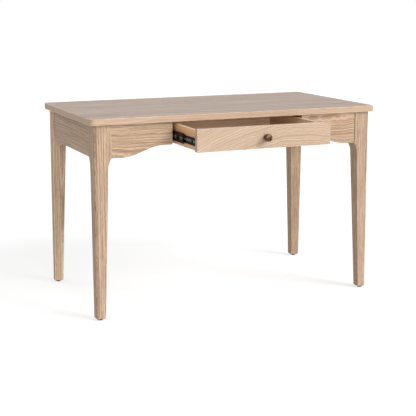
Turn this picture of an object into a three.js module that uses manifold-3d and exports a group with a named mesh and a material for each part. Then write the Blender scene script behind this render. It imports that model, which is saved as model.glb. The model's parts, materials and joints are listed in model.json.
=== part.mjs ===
// A writing desk with one shallow drawer, in millimetres, +Z up, front facing -Y.
// The origin is on the floor, under the middle of the desk and of its partly open drawer.
// Each piece is drawn with the drawer shut; the groups that slide are then drawn forward.

import * as THREE from 'three';
import { mergeVertices } from 'three/addons/utils/BufferGeometryUtils.js';
import Module from 'manifold-3d';

// ---- Driving dimensions ----

const fit = 0.3; // gap between two pieces that touch
const blindEnd = 1; // how much deeper a hole is than the peg in it

// Desktop
const deskWidth = 1200;
const deskDepth = 650;
const deskHeight = 760;
const topThickness = 24;
const topCornerRadius = 20;
const topArris = 1.5;
const overhangSide = 18; // desktop past the legs
const overhangFront = 13;
const overhangBack = 16;

// Legs: square where the aprons meet them, with a hollow knee below and a taper on the inner faces
const legWidth = 66;
const legKneeWidth = 54;
const legFootWidth = 36;
const legCornerRadius = 13; // outer corner
const legEase = 2;
const legFootChamfer = 2.5;
const kneeHeight = 41;

// Glides under the legs
const glideRadius = 9.5;
const glideHeight = 6;
const stemRadius = 3; // plugged into the foot
const stemLength = 22;

// Aprons
const apronThickness = 20;
const apronDepth = 125;
const apronSetback = 3; // behind the outer faces of the legs
const panelRise = 38; // how much higher the front panels end beside the drawer
const panelFoot = 44; // straight lower edge beside the leg
const panelTongue = 38; // straight lower edge beside the drawer

// Tenons, each in the middle of its board's thickness, in mortises wider by the gap all round
const tenonLength = 25; // apron into leg
const tenonThickness = 9;
const tenonShoulder = 12; // above and below
const tenonRoot = 5; // of a tenon's block, inside its apron
const runnerTenonLength = 12;
const runnerTenonThickness = 8;
const drawerTongueLength = 9; // drawer side into drawer front
const backTongueLength = 6; // drawer back into drawer sides
const drawerTongueThickness = 5;
const drawerTongueShoulder = 6;

// Corner blocks, each pulled against a planed flat on its leg by one hanger bolt,
// and each holding the desktop down with one long screw
const cornerFlat = 8; // depth planed off the leg's inner corner, along each face
const cornerBlockThickness = 24;
const cornerBlockHeight = 76;
const boltRadius = 3.5;
const boltInLeg = 34;
const boltEnd = 4; // thread past the nut
const nutRadius = 7;
const nutHeight = 6;
const nutFlangeRadius = 9;
const nutFlange = 1.6;
const topScrewOffset = 27; // to one side of the bolt
const topScrewInBlock = 28;
const topScrewInTop = 16;

// Runner boards, which carry the slides
const runnerThickness = 18;
const runnerLift = 3; // above the lower edge of the front panels

// Screws
const screwRadius = 2;
const screwHeadRadius = 4;
const screwHead = 1.9;
const slideScrewLength = 15; // into the runner boards
const sideScrewLength = 9.5; // into the drawer sides

// Drawer
const drawerFrontWidth = 542;
const drawerFrontThickness = 20;
const drawerGap = 3; // around the drawer front
const drawerSideThickness = 12;
const drawerSideHeight = 76;
const drawerSideLift = 1; // above the lower edge of the drawer front
const drawerBottomThickness = 6;
const drawerBottomLift = 11; // above the lower edge of the sides
const grooveDepth = 6;
const drawerOpen = 230; // how far the drawer stands open

// Knob
const knobProjection = 32;
const knobRadius = 14.5;
const knobNeckRadius = 5.5;
const knobFootRadius = 9;
const knobFoot = 2.5;
const knobHeadDepth = 15;
const knobScrewInKnob = 11;

// Ball-bearing slides, of three members that nest in one another
const slideSpace = 13; // between a runner board and the drawer side
const slideHeight = 45.6;
const slideSteel = 1.2;
const slideCentreLift = 33; // above the lower edge of the drawer front
const slideStart = 2; // behind the drawer front
const slideLength = 450; // and the depth of the drawer box
const slideMemberShorter = 10; // middle and drawer members than the cabinet member
const middleWebPlace = 4.6; // of each member's web and lips across the slide
const cabinetLipEnd = 10.5;
const middleLipEnd = 11.2;
const drawerLipStart = 7.2;
const ballRadius = 1.5;
const ballPlay = 0.15;
const ballsInRow = 5;
const ballPitch = 32;
const outerBallPlace = 8.2;
const innerBallPlace = 9.3;
const cageSteel = 0.6;
const outerCageWeb = 3.7;
const innerCageWeb = 6.1;
const cageLipMargin = 2.4; // past the middle of the balls
const stopTab = 3; // folded up at the back of the cabinet member, which stops the others
const stopTabHeight = 20;
const slideScrewInset = 45; // from the front end of a member, and from its back end

// Release levers, in the drawer members
const leverFromBack = 135; // of the member
const leverLength = 56;
const leverHeight = 7;
const leverThickness = 1.4;
const leverAcross = 8.6;
const leverPad = 10; // thumb pad at its front end
const leverPivotRadius = 1.6;
const leverPivotHead = 0.7;

// ---- Places worked out from them, with the middle of the desk at x = y = 0 ----

const underside = deskHeight - topThickness;
const apronTop = underside - fit;
const apronBottom = underside - apronDepth;
const panelBottom = apronBottom + panelRise;
const legX = deskWidth / 2 - overhangSide;
const frontLegY = overhangFront - deskDepth / 2;
const backLegY = deskDepth / 2 - overhangBack;
const legBottom = glideHeight + fit;
const apronInside = apronSetback + apronThickness; // from a leg's outer face

const openingWidth = drawerFrontWidth + 2 * drawerGap;
const faceY = frontLegY + apronSetback; // front faces of the panels and of the shut drawer
const boxFrontY = faceY + drawerFrontThickness + fit;
const boxBackY = boxFrontY + slideLength;
const frontTop = underside - drawerGap;
const sideOuterX = openingWidth / 2 - slideSpace;
const sideInnerX = sideOuterX - drawerSideThickness;
const sideBottom = panelBottom + drawerSideLift;
const bottomPanelZ = sideBottom + drawerBottomLift;
const slideZ = panelBottom + slideCentreLift;
const slideY = faceY + drawerFrontThickness + slideStart;
const memberLength = slideLength - slideMemberShorter;
const screwPlaces = [slideScrewInset, memberLength - slideScrewInset]; // behind the front ends
const leverPlace = memberLength - leverFromBack;
const cageLength = ballsInRow * ballPitch;
const cageStart = (memberLength - cageLength) / 2;

const knobTip = faceY - drawerOpen - knobProjection;
const deskPlaceY = -(knobTip + deskDepth / 2) / 2;

// ---- Materials ----

function paint(color, roughness, metalness = 0) {
  return new THREE.MeshStandardMaterial({ color, roughness, metalness });
}

const oakTop = paint(0xb5a294, 0.6);
const oakLeg = paint(0xc6a98f, 0.6);
const oakApron = paint(0xc9ab90, 0.6);
const oakFront = paint(0xd2b79d, 0.6);
const drawerWood = paint(0xc19a70, 0.65);
const hiddenWood = paint(0xb99873, 0.7);
const plywood = paint(0xc8a67c, 0.65);
const blackSteel = paint(0x1f1f21, 0.4, 0.7);
const zincSteel = paint(0xb9bcc0, 0.35, 0.9);
const agedBrass = paint(0x6d5a44, 0.4, 0.85);
const blackPlastic = paint(0x17171a, 0.5);

// ---- Solids ----

const wasm = await Module();
wasm.setup();

function bare(geometry) {
  const copy = geometry.index ? geometry.toNonIndexed() : geometry.clone();
  copy.deleteAttribute('normal');
  copy.deleteAttribute('uv');
  return copy;
}

function toSolid(geometry) {
  const merged = mergeVertices(bare(geometry), 1e-4);
  const vertProperties = Float32Array.from(merged.attributes.position.array);
  const triVerts = Uint32Array.from(merged.index.array);
  return new wasm.Manifold(new wasm.Mesh({ numProp: 3, vertProperties, triVerts }));
}

function toGeometry(solid) {
  const mesh = solid.getMesh();
  const geometry = new THREE.BufferGeometry();
  geometry.setAttribute('position', new THREE.BufferAttribute(mesh.vertProperties, 3));
  geometry.setIndex(new THREE.BufferAttribute(mesh.triVerts, 1));
  return geometry;
}

function cut(geometry, ...tools) {
  const solids = tools.map(toSolid);
  return toGeometry(solids.reduce((solid, tool) => solid.subtract(tool), toSolid(geometry)));
}

function common(...geometries) {
  return toGeometry(geometries.map(toSolid).reduce((first, second) => first.intersect(second)));
}

function joined(...geometries) {
  return toGeometry(geometries.map(toSolid).reduce((first, second) => first.add(second)));
}

function block([width, depth, height], [x, y, z]) {
  return new THREE.BoxGeometry(width, depth, height).translate(x, y, z);
}

// A box between two corners, given as [low, high] along x, y and z.
function between([x0, x1], [y0, y1], [z0, z1]) {
  return block([x1 - x0, y1 - y0, z1 - z0], [(x0 + x1) / 2, (y0 + y1) / 2, (z0 + z1) / 2]);
}

function outline(points) {
  return new THREE.Shape(points.map(([u, v]) => new THREE.Vector2(u, v)));
}

const unitX = new THREE.Vector3(1, 0, 0);
const unitY = new THREE.Vector3(0, 1, 0);
const unitZ = new THREE.Vector3(0, 0, 1);
const shapeXZ = new THREE.Matrix4().makeBasis(unitX, unitZ, unitY.clone().negate());
const shapeYZ = new THREE.Matrix4().makeBasis(unitY, unitZ, unitX);

function extrudeZ(shape, low, high, curveSegments = 8) {
  const options = { depth: high - low, bevelEnabled: false, curveSegments };
  return new THREE.ExtrudeGeometry(shape, options).translate(0, 0, low);
}

// A shape drawn in x and z, extruded along y.
function extrudeY(shape, low, high, curveSegments = 8) {
  return extrudeZ(shape, 0, high - low, curveSegments).applyMatrix4(shapeXZ).translate(0, high, 0);
}

// A shape drawn in y and z, extruded along x.
function extrudeX(shape, low, high, curveSegments = 8) {
  return extrudeZ(shape, 0, high - low, curveSegments).applyMatrix4(shapeYZ).translate(low, 0, 0);
}

// A turned piece: its profile is [distance, radius] pairs along a line that starts at a point.
function turned(profile, start, direction, sides = 12) {
  const points = profile.map(([distance, radius]) => new THREE.Vector2(radius, distance));
  const turn = new THREE.Quaternion().setFromUnitVectors(unitY, direction.clone().normalize());
  return new THREE.LatheGeometry(points, sides).applyQuaternion(turn).translate(...start);
}

function peg(radius, from, to, sides = 12) {
  const direction = new THREE.Vector3(...to).sub(new THREE.Vector3(...from));
  const length = direction.length();
  return turned([[0, 0], [0, radius], [length, radius], [length, 0]], from, direction, sides);
}

// A screw whose head's underside is at a point, its shank running along a direction.
function screw(start, direction, length) {
  const profile = [
    [-screwHead, 0],
    [-screwHead, screwHeadRadius * 0.6],
    [-screwHead / 2, screwHeadRadius],
    [0, screwHeadRadius],
    [0, screwRadius],
    [length - screwRadius, screwRadius],
    [length, 0],
  ];
  return turned(profile, start, direction);
}

function screwHole(start, direction, length) {
  const from = new THREE.Vector3(...start);
  const end = direction.clone().setLength(length + blindEnd).add(from);
  return peg(screwRadius + fit, from.sub(direction.clone().setLength(blindEnd)).toArray(), end.toArray());
}

// ---- The scene: the fixed desk, and the groups that slide ----

const writingDesk = new THREE.Group();
const desk = new THREE.Group();
desk.position.y = deskPlaceY;
writingDesk.add(desk);

function slidingGroup(share) {
  const group = new THREE.Group();
  group.position.y = -drawerOpen * share;
  desk.add(group);
  return group;
}

const drawer = slidingGroup(1);
const middleMembers = slidingGroup(1 / 2);
const outerCages = slidingGroup(1 / 4);
const innerCages = slidingGroup(3 / 4);

function addMesh(parent, name, geometry, material) {
  const shown = geometry.index ? geometry.toNonIndexed() : geometry;
  shown.computeVertexNormals();
  const mesh = new THREE.Mesh(shown, material);
  mesh.name = name;
  parent.add(mesh);
  return mesh;
}

const sides = [
  { name: 'left', sign: -1 },
  { name: 'right', sign: 1 },
];

// A corner's own frame has the leg's outer corner at its origin, and x and y running inwards.
const corners = [
  { name: 'front_left', x: -legX, y: frontLegY, turn: 0 },
  { name: 'front_right', x: legX, y: frontLegY, turn: Math.PI / 2 },
  { name: 'back_right', x: legX, y: backLegY, turn: Math.PI },
  { name: 'back_left', x: -legX, y: backLegY, turn: -Math.PI / 2 },
];

function atCorner(geometry, corner) {
  return geometry.clone().rotateZ(corner.turn).translate(corner.x, corner.y, 0);
}

// The outline of a tenon's or mortise's block: [low, high] along each direction, grown by a margin.
function grown(ranges, margin) {
  return between(...ranges.map(([low, high]) => [low - margin, high + margin]));
}

// ---- Tenons of the aprons, in a corner's frame ----

const apronMiddle = apronInside - apronThickness / 2;
const tenonAcross = [apronMiddle - tenonThickness / 2, apronMiddle + tenonThickness / 2];
const tenonAlong = [legWidth - tenonLength, legWidth + tenonRoot];
const tenonHeight = [apronBottom + tenonShoulder, apronTop - tenonShoulder];
const tenonX = [tenonAlong, tenonAcross, tenonHeight]; // of the apron that runs along x
const tenonY = [tenonAcross, tenonAlong, tenonHeight];

// ---- Corner blocks and hanger bolts, in a corner's frame ----

const blockTop = apronTop;
const blockBottom = blockTop - cornerBlockHeight;
const flatLine = 2 * legWidth - cornerFlat; // x + y on the flat planed on the leg

// The outline between two lines of constant x + y, kept off both aprons by a margin.
function cornerStrip(nearLine, farLine, margin) {
  const low = apronInside + margin;
  return outline([
    [nearLine - low, low],
    [farLine - low, low],
    [low, farLine - low],
    [low, nearLine - low],
  ]);
}

const diagonal = Math.SQRT1_2;
const blockNear = flatLine + fit / diagonal;
const blockFar = blockNear + cornerBlockThickness / diagonal;
const legFlatCutter = extrudeZ(cornerStrip(flatLine, blockFar, 0), blockBottom - 2, deskHeight);

const outwards = new THREE.Vector3(-1, -1, 0).normalize();
const boltStart = new THREE.Vector3(blockFar / 2, blockFar / 2, (blockTop + blockBottom) / 2);
const boltReach = cornerBlockThickness + fit + boltInLeg;
const nutStart = -fit - nutFlange - nutHeight;

function alongBolt(distance) {
  return outwards.clone().multiplyScalar(distance).add(boltStart).toArray();
}

const boltHole = peg(boltRadius + fit, alongBolt(nutStart), alongBolt(boltReach + blindEnd));

function hangerBolt() {
  return peg(boltRadius, alongBolt(nutStart - boltEnd), alongBolt(boltReach));
}

function hangerNut() {
  const hexagon = peg(nutRadius, alongBolt(nutStart), alongBolt(nutStart + nutHeight + 0.5), 6);
  const flange = peg(nutFlangeRadius, alongBolt(nutStart + nutHeight), alongBolt(-fit), 16);
  return cut(joined(hexagon, flange), boltHole);
}

// The screw up into the desktop, from a wide hole in the underside of the block.
const topScrewMiddle = (blockNear + blockFar) / 4;
const topScrewX = topScrewMiddle + topScrewOffset * diagonal;
const topScrewY = topScrewMiddle - topScrewOffset * diagonal;
const topScrewSeat = blockTop - topScrewInBlock;
const topScrewStart = [topScrewX, topScrewY, topScrewSeat];
const topScrewLength = topScrewInBlock + fit + topScrewInTop;
const topScrewHole = screwHole(topScrewStart, unitZ, topScrewLength);

function cornerBlock() {
  const strip = extrudeZ(cornerStrip(blockNear, blockFar, fit), blockBottom, blockTop);
  const wideHole = peg(
    screwHeadRadius + 2 * fit,
    [topScrewX, topScrewY, blockBottom - 1],
    [topScrewX, topScrewY, topScrewSeat + fit],
  );
  return cut(strip, boltHole, topScrewHole, wideHole);
}

// ---- Legs and glides ----

const glideCentre = legFootWidth / 2;
const stemTop = legBottom + stemLength;

function legProfile() {
  const kneeBottom = apronBottom - kneeHeight;
  const profile = new THREE.Shape();
  profile.moveTo(legFootChamfer, legBottom);
  profile.lineTo(legFootWidth - legFootChamfer, legBottom);
  profile.lineTo(legFootWidth, legBottom + legFootChamfer);
  profile.lineTo(legKneeWidth, kneeBottom);
  profile.quadraticCurveTo(legKneeWidth, kneeBottom + kneeHeight / 2, legWidth, apronBottom);
  profile.lineTo(legWidth, apronTop);
  profile.lineTo(0, apronTop);
  profile.lineTo(0, legBottom + legFootChamfer);
  return profile;
}

function legPlan() {
  const plan = new THREE.Shape();
  plan.moveTo(legCornerRadius, 0);
  plan.lineTo(legWidth - legEase, 0);
  plan.lineTo(legWidth, legEase);
  plan.lineTo(legWidth, legWidth - legEase);
  plan.lineTo(legWidth - legEase, legWidth);
  plan.lineTo(legEase, legWidth);
  plan.lineTo(0, legWidth - legEase);
  plan.lineTo(0, legCornerRadius);
  plan.absarc(legCornerRadius, legCornerRadius, legCornerRadius, Math.PI, Math.PI * 1.5);
  return plan;
}

function leg() {
  const shaped = common(
    extrudeZ(legPlan(), 0, deskHeight),
    extrudeY(legProfile(), -1, legWidth + 1),
    extrudeX(legProfile(), -1, legWidth + 1),
  );
  const foot = [glideCentre, glideCentre, 0];
  const stemHole = peg(stemRadius + fit, foot, [glideCentre, glideCentre, stemTop + blindEnd]);
  return cut(shaped, grown(tenonX, fit), grown(tenonY, fit), legFlatCutter, boltHole, stemHole);
}

// A domed plastic disc under the foot, with a stem plugged into it.
function glide() {
  const profile = [
    [0, 0],
    [0, glideRadius - 2],
    [2, glideRadius],
    [glideHeight, glideRadius],
    [glideHeight, stemRadius],
    [stemTop - 1, stemRadius],
    [stemTop, 0],
  ];
  return turned(profile, [glideCentre, glideCentre, 0], unitZ, 24);
}

for (const corner of corners) {
  const pieces = [
    ['leg', leg(), oakLeg],
    ['glide', glide(), blackPlastic],
    ['corner_block', cornerBlock(), hiddenWood],
    ['hanger_bolt', hangerBolt(), zincSteel],
    ['hanger_nut', hangerNut(), zincSteel],
    ['top_screw', screw(topScrewStart, unitZ, topScrewLength), zincSteel],
  ];
  for (const [kind, geometry, material] of pieces) {
    const mesh = addMesh(desk, `${kind}_${corner.name}`, geometry, material);
    mesh.position.set(corner.x, corner.y, 0);
    mesh.rotation.z = corner.turn;
  }
}

// ---- Desktop ----

function desktop() {
  const x = deskWidth / 2 - topArris;
  const y = deskDepth / 2 - topArris;
  const radius = topCornerRadius - topArris;
  const plan = new THREE.Shape();
  plan.moveTo(radius - x, -y);
  plan.lineTo(x - radius, -y);
  plan.absarc(x - radius, radius - y, radius, -Math.PI / 2, 0);
  plan.lineTo(x, y - radius);
  plan.absarc(x - radius, y - radius, radius, 0, Math.PI / 2);
  plan.lineTo(radius - x, y);
  plan.absarc(radius - x, y - radius, radius, Math.PI / 2, Math.PI);
  plan.lineTo(-x, radius - y);
  plan.absarc(radius - x, radius - y, radius, Math.PI, Math.PI * 1.5);
  const slab = new THREE.ExtrudeGeometry(plan, {
    depth: topThickness - 2 * topArris,
    bevelSize: topArris,
    bevelThickness: topArris,
    bevelSegments: 2,
    curveSegments: 8,
  });
  const screwHoles = corners.map((corner) => atCorner(topScrewHole, corner));
  return cut(slab.translate(0, 0, underside + topArris), ...screwHoles);
}

addMesh(desk, 'desktop', desktop(), oakTop);

// ---- Runner boards, and the tenons that join them to the front panels and the rear apron ----

const runnerFront = faceY + apronThickness + fit;
const runnerBack = backLegY - apronInside - fit;
const runnerX = openingWidth / 2 + runnerThickness / 2;
const runnerBottom = panelBottom + runnerLift;

// The tenon's block runs the whole length of the board, past both of its ends.
function runnerTenon(sign) {
  const across = runnerTenonThickness / 2;
  return [
    [sign * runnerX - across, sign * runnerX + across],
    [runnerFront - runnerTenonLength, runnerBack + runnerTenonLength],
    [runnerBottom + tenonShoulder, apronTop - tenonShoulder],
  ];
}

const runnerMortises = sides.map(({ sign }) => grown(runnerTenon(sign), fit));

// ---- Aprons ----

// In the corners that are turned a quarter, the directions of the two aprons change places.
function withTenons(board, runsAlongX, cornerNames) {
  const ends = corners.filter((corner) => cornerNames.includes(corner.name));
  const tenons = ends.map((corner) => {
    const quarter = Math.abs(Math.sin(corner.turn)) > 0.5;
    const tenon = quarter === runsAlongX ? tenonY : tenonX;
    return atCorner(between(...tenon), corner);
  });
  return joined(board, ...tenons);
}

const panelEnd = legX - legWidth - fit; // where a front or rear apron stops at its leg

// The lower edge of a front panel runs level beside the leg, rises in an ogee, then runs level again.
function frontPanel({ name, sign }) {
  const inner = openingWidth / 2;
  const ogeeStart = panelEnd - panelFoot;
  const ogeeEnd = inner + panelTongue;
  const pull = (ogeeStart - ogeeEnd) * 0.36;
  const face = new THREE.Shape();
  face.moveTo(sign * panelEnd, apronBottom);
  face.lineTo(sign * ogeeStart, apronBottom);
  face.bezierCurveTo(
    sign * (ogeeStart - pull), apronBottom,
    sign * (ogeeEnd + pull), panelBottom,
    sign * ogeeEnd, panelBottom,
  );
  face.lineTo(sign * inner, panelBottom);
  face.lineTo(sign * inner, apronTop);
  face.lineTo(sign * panelEnd, apronTop);
  const board = extrudeY(face, faceY, faceY + apronThickness, 16);
  return cut(withTenons(board, true, [`front_${name}`]), ...runnerMortises);
}

function rearApron() {
  const outer = backLegY - apronSetback;
  const thickness = [outer - apronThickness, outer];
  const board = between([-panelEnd, panelEnd], thickness, [apronBottom, apronTop]);
  return cut(withTenons(board, true, ['back_left', 'back_right']), ...runnerMortises);
}

function sideApron({ name, sign }) {
  const x = sign * (legX - apronSetback - apronThickness / 2);
  const low = frontLegY + legWidth + fit;
  const high = backLegY - legWidth - fit;
  const size = [apronThickness, high - low, apronTop - apronBottom];
  const board = block(size, [x, (low + high) / 2, (apronTop + apronBottom) / 2]);
  return withTenons(board, false, [`front_${name}`, `back_${name}`]);
}

// ---- Slide screws, in a slide's own frame ----
// x runs from the runner board to the drawer side, y back from the front end, z from the centre line.

const cabinetWeb = fit;
const drawerWeb = slideSpace - fit - slideSteel;
const towardsRunner = unitX.clone().negate();
const slideScrews = screwPlaces.flatMap((y, i) => [
  {
    kind: 'cabinet_screw',
    end: i,
    start: [cabinetWeb + slideSteel + fit, y, 0],
    direction: towardsRunner,
    length: slideScrewLength,
  },
  {
    kind: 'drawer_screw',
    end: i,
    start: [drawerWeb - fit, y, 0],
    direction: unitX,
    length: sideScrewLength,
  },
]);
const slideScrewHoles = slideScrews.map(({ start, direction, length }) => (
  screwHole(start, direction, length)
));

function atSlide(geometry, sign) {
  const turn = sign < 0 ? 0 : Math.PI;
  return geometry.clone().rotateY(turn).translate(sign * openingWidth / 2, slideY, slideZ);
}

function slideScrewHolesOf(sign) {
  return slideScrewHoles.map((hole) => atSlide(hole, sign));
}

function runnerBoard({ sign }) {
  const size = [runnerThickness, runnerBack - runnerFront, apronTop - runnerBottom];
  const centre = [sign * runnerX, (runnerFront + runnerBack) / 2, (apronTop + runnerBottom) / 2];
  const board = joined(block(size, centre), between(...runnerTenon(sign)));
  return cut(board, ...slideScrewHolesOf(sign));
}

for (const side of sides) {
  addMesh(desk, `front_panel_${side.name}`, frontPanel(side), oakApron);
  addMesh(desk, `side_apron_${side.name}`, sideApron(side), oakApron);
  addMesh(desk, `runner_board_${side.name}`, runnerBoard(side), hiddenWood);
}
addMesh(desk, 'rear_apron', rearApron(), oakApron);

// ---- Drawer ----

// The groove runs round the inside of the box, and holds the bottom panel on all four edges.
const grooveX = sideInnerX + grooveDepth;
const grooveFront = boxFrontY - fit - grooveDepth;
const grooveBack = boxBackY - drawerSideThickness + grooveDepth;
const grooveHeight = [bottomPanelZ - fit, bottomPanelZ + drawerBottomThickness + fit];
const groove = between([-grooveX, grooveX], [grooveFront, grooveBack], grooveHeight);

const tongueHeight = [
  sideBottom + drawerTongueShoulder,
  sideBottom + drawerSideHeight - drawerTongueShoulder,
];
const sideX = sideOuterX - drawerSideThickness / 2;
const backY = boxBackY - drawerSideThickness / 2;
const boxMiddleZ = sideBottom + drawerSideHeight / 2;

// A side's tongue, in the drawer front.
function sideTongue(sign) {
  const across = drawerTongueThickness / 2;
  return [
    [sign * sideX - across, sign * sideX + across],
    [boxFrontY - drawerTongueLength, boxFrontY + drawerTongueLength],
    tongueHeight,
  ];
}

// The back's tongues, one block from side to side.
const backTongueX = sideInnerX + backTongueLength;
const backTongue = [
  [-backTongueX, backTongueX],
  [backY - drawerTongueThickness / 2, backY + drawerTongueThickness / 2],
  tongueHeight,
];

const knobCentreZ = (frontTop + panelBottom) / 2;
const knobScrewLength = drawerFrontThickness + fit + knobScrewInKnob;
const knobScrewStart = [0, faceY + drawerFrontThickness + fit, knobCentreZ];
const towardsFront = unitY.clone().negate();
const knobScrewHole = screwHole(knobScrewStart, towardsFront, knobScrewLength);

function drawerFront() {
  const size = [drawerFrontWidth, drawerFrontThickness, frontTop - panelBottom];
  const board = block(size, [0, faceY + drawerFrontThickness / 2, knobCentreZ]);
  const mortises = sides.map(({ sign }) => grown(sideTongue(sign), fit));
  return cut(board, groove, knobScrewHole, ...mortises);
}

function drawerSide({ sign }) {
  const size = [drawerSideThickness, boxBackY - boxFrontY, drawerSideHeight];
  const board = block(size, [sign * sideX, (boxFrontY + boxBackY) / 2, boxMiddleZ]);
  const side = joined(board, between(...sideTongue(sign)));
  return cut(side, groove, grown(backTongue, fit), ...slideScrewHolesOf(sign));
}

function drawerBack() {
  const size = [2 * (sideInnerX - fit), drawerSideThickness, drawerSideHeight];
  const board = block(size, [0, backY, boxMiddleZ]);
  return cut(joined(board, between(...backTongue)), groove);
}

function drawerBottom() {
  const x = grooveX - 2 * fit;
  const y = [grooveFront + 2 * fit, grooveBack - 2 * fit];
  return between([-x, x], y, [bottomPanelZ, bottomPanelZ + drawerBottomThickness]);
}

// A turned knob: foot, waisted neck and a domed mushroom head.
function knob() {
  const headStart = knobProjection - knobHeadDepth;
  const profile = new THREE.Path();
  profile.moveTo(fit, 0);
  profile.lineTo(fit, knobFootRadius);
  profile.lineTo(knobFoot, knobFootRadius);
  profile.quadraticCurveTo(knobFoot + 2, knobNeckRadius, headStart - 4, knobNeckRadius);
  profile.quadraticCurveTo(headStart, knobNeckRadius, headStart + 1, knobRadius - 2);
  profile.quadraticCurveTo(headStart + 2, knobRadius, headStart + 5, knobRadius);
  profile.quadraticCurveTo(knobProjection - 1, knobRadius, knobProjection, 0);
  const points = profile.getPoints(5).map((point) => [point.x, point.y]);
  return cut(turned(points, [0, faceY, knobCentreZ], towardsFront, 32), knobScrewHole);
}

addMesh(drawer, 'drawer_front', drawerFront(), oakFront);
for (const side of sides) {
  addMesh(drawer, `drawer_side_${side.name}`, drawerSide(side), drawerWood);
}
addMesh(drawer, 'drawer_back', drawerBack(), drawerWood);
addMesh(drawer, 'drawer_bottom', drawerBottom(), plywood);
addMesh(drawer, 'knob', knob(), agedBrass);
addMesh(drawer, 'knob_screw', screw(knobScrewStart, towardsFront, knobScrewLength), zincSteel);

// ---- Slides ----

const cabinetInside = slideHeight / 2 - slideSteel;
const outerBallZ = cabinetInside - ballPlay - ballRadius;
const middleOutside = outerBallZ - ballRadius - ballPlay;
const innerBallZ = middleOutside - slideSteel - ballPlay - ballRadius;
const drawerOutside = innerBallZ - ballRadius - ballPlay;

// A channel's section, from where its web and its lips end across the slide.
function channel(webX, lipX, halfHeight, steel) {
  const webInside = webX + Math.sign(lipX - webX) * steel;
  const inside = halfHeight - steel;
  return outline([
    [webX, -halfHeight],
    [lipX, -halfHeight],
    [lipX, -inside],
    [webInside, -inside],
    [webInside, inside],
    [lipX, inside],
    [lipX, halfHeight],
    [webX, halfHeight],
  ]);
}

function cabinetMember() {
  const section = channel(cabinetWeb, cabinetLipEnd, slideHeight / 2, slideSteel);
  const tab = between(
    [cabinetWeb + slideSteel / 2, cabinetLipEnd],
    [slideLength - stopTab, slideLength],
    [-stopTabHeight / 2, stopTabHeight / 2],
  );
  return cut(joined(extrudeY(section, 0, slideLength), tab), ...slideScrewHoles);
}

// The middle member's web has a slot in front of each screw, for the screwdriver.
function middleMember() {
  const section = channel(middleWebPlace, middleLipEnd, middleOutside, slideSteel);
  const slotHeight = 3 * screwHeadRadius;
  const slotSize = [3 * slideSteel, 2 * slotHeight, slotHeight];
  const slots = screwPlaces.map((y) => block(slotSize, [middleWebPlace, y, 0]));
  return cut(extrudeY(section, 0, memberLength), ...slots);
}

// The drawer member carries the stud that its release lever turns on.
function drawerMember() {
  const section = channel(drawerWeb + slideSteel, drawerLipStart, drawerOutside, slideSteel);
  const studStart = drawerWeb + slideSteel / 2;
  const studLength = studStart - leverAcross + fit;
  const stud = turned([
    [0, 0],
    [0, leverPivotRadius],
    [studLength, leverPivotRadius],
    [studLength, 2 * leverPivotRadius],
    [studLength + leverPivotHead, 2 * leverPivotRadius],
    [studLength + leverPivotHead, 0],
  ], [studStart, leverPlace, 0], towardsRunner);
  return joined(cut(extrudeY(section, 0, memberLength), ...slideScrewHoles), stud);
}

function releaseLever() {
  const arm = block([leverThickness, leverLength, leverHeight], [0, 0, 0]);
  const pad = block([leverThickness, leverPad, leverPad], [0, -leverLength / 2, 0]);
  const hole = peg(leverPivotRadius + fit, [-leverThickness, 0, 0], [leverThickness, 0, 0]);
  return cut(joined(arm, pad), hole).translate(leverAcross + leverThickness / 2, leverPlace, 0);
}

// A ball cage: a thin channel with a row of balls in each lip.
function ballCage(webX, ballX, ballZ) {
  const section = channel(webX, ballX + cageLipMargin, ballZ + cageSteel / 2, cageSteel);
  const strip = extrudeY(section, cageStart, cageStart + cageLength);
  const places = Array.from({ length: ballsInRow }, (_, i) => cageStart + (i + 0.5) * ballPitch);
  const balls = places.flatMap((y) => [-ballZ, ballZ].map((z) => (
    new THREE.SphereGeometry(ballRadius, 8, 4).translate(ballX, y, z)
  )));
  return joined(strip, ...balls);
}

for (const { name, sign } of sides) {
  const pieces = [
    [desk, 'slide_cabinet_member', cabinetMember(), blackSteel],
    [middleMembers, 'slide_middle_member', middleMember(), blackSteel],
    [drawer, 'slide_drawer_member', drawerMember(), blackSteel],
    [drawer, 'release_lever', releaseLever(), blackPlastic],
    [outerCages, 'outer_ball_cage', ballCage(outerCageWeb, outerBallPlace, outerBallZ), zincSteel],
    [innerCages, 'inner_ball_cage', ballCage(innerCageWeb, innerBallPlace, innerBallZ), zincSteel],
    ...slideScrews.map(({ kind, end, start, direction, length }) => [
      kind === 'cabinet_screw' ? desk : drawer,
      `${kind}_${['front', 'back'][end]}`,
      screw(start, direction, length),
      blackSteel,
    ]),
  ];
  for (const [group, kind, geometry, material] of pieces) {
    const mesh = addMesh(group, `${kind}_${name}`, geometry, material);
    mesh.position.set(sign * openingWidth / 2, slideY, slideZ);
    mesh.rotation.y = sign < 0 ? 0 : Math.PI;
  }
}

export default writingDesk;
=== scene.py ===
"""A writing desk in limed oak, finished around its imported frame.

Metres, +Z up, the front facing -Y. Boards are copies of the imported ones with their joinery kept,
their arrises rounded over, and their grain laid along them. The knob, screws, bolts and glides
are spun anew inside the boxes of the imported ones. Only the ball cages are shown as packed.
"""

import json
import math

import bmesh
import bpy
from mathutils import Matrix, Vector


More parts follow.
